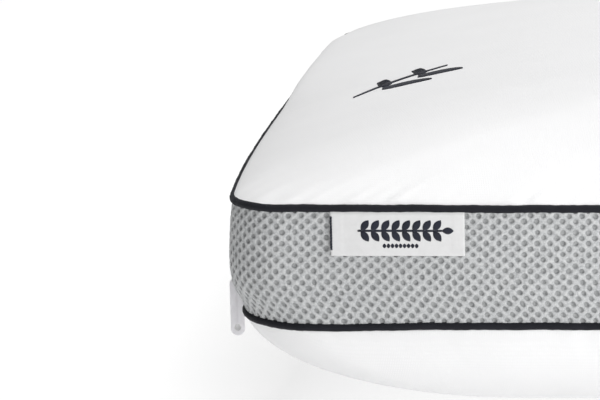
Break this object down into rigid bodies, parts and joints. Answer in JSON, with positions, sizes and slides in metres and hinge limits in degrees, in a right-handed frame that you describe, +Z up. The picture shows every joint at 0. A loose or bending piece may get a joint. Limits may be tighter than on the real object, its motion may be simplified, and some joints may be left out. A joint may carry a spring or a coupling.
{
  "type": "bed pillow",
  "caption": "Boxed memory-foam bed pillow with crowned white panels, mesh border, dark piped seams, side zip with hanging puller, and a woven label in the front seam.",
  "frame": {"origin": "centre of the flat patch on the bottom panel that the pillow rests on", "axes": "+X along the pillow's length, away from the zip; -Y towards the side with the woven label; +Z up through the thickness"},
  "size_m": [0.6072, 0.4012, 0.131],
  "materials": {
    "foam": "matte open-cell memory foam",
    "liner_knit": "thin plain knit",
    "cover_knit": "smooth fine white knit with a soft sheen",
    "spacer_mesh": "pale grey 3-D spacer mesh with round holes",
    "piping_fabric": "dark navy woven binding",
    "filler_cord": "twisted cotton cord",
    "zip_tape": "woven polyester tape",
    "zip_coil": "nylon coil",
    "zip_stop": "moulded nylon",
    "slider_paint": "white lacquered zinc",
    "puller_plastic": "frosted, slightly translucent soft plastic",
    "label_satin": "white woven satin",
    "navy_thread": "rayon embroidery thread"
  },
  "bodies": {
    "pillow": {"foam_core": "foam", "inner_liner_upper": "liner_knit", "inner_liner_lower": "liner_knit", "top_panel": "cover_knit", "bottom_panel": "cover_knit", "mesh_border": "spacer_mesh", "zip_border_upper": "spacer_mesh", "zip_border_lower": "spacer_mesh", "upper_piping_sleeve": "piping_fabric", "upper_piping_cord": "filler_cord", "lower_piping_sleeve": "piping_fabric", "lower_piping_cord": "filler_cord", "zip_tape_upper": "zip_tape", "zip_tape_lower": "zip_tape", "zip_coil_upper": "zip_coil", "zip_coil_lower": "zip_coil", "zip_top_stops": "zip_stop", "zip_bottom_stop": "zip_stop", "embroidered_motif": "navy_thread"},
    "slider": {"zip_slider": "slider_paint"},
    "puller": {"zip_puller": "puller_plastic"},
    "label": {"woven_label": "label_satin"}
  },
  "joints": [
    {"name": "zip_slide", "type": "slide", "parent": "pillow", "child": "slider", "axis": [0, 1, 0], "range_m": [0, 0.3]},
    {"name": "puller_hinge", "type": "hinge", "parent": "slider", "child": "puller", "pos_m": [-0.3039, -0.15, 0.0565], "axis": [0, 1, 0], "range_deg": [0, 165]},
    {"name": "label_flap", "type": "hinge", "parent": "pillow", "child": "label", "pos_m": [-0.23, -0.20055, 0.0911], "axis": [-1, 0, 0], "range_deg": [0, 90]}
  ]
}
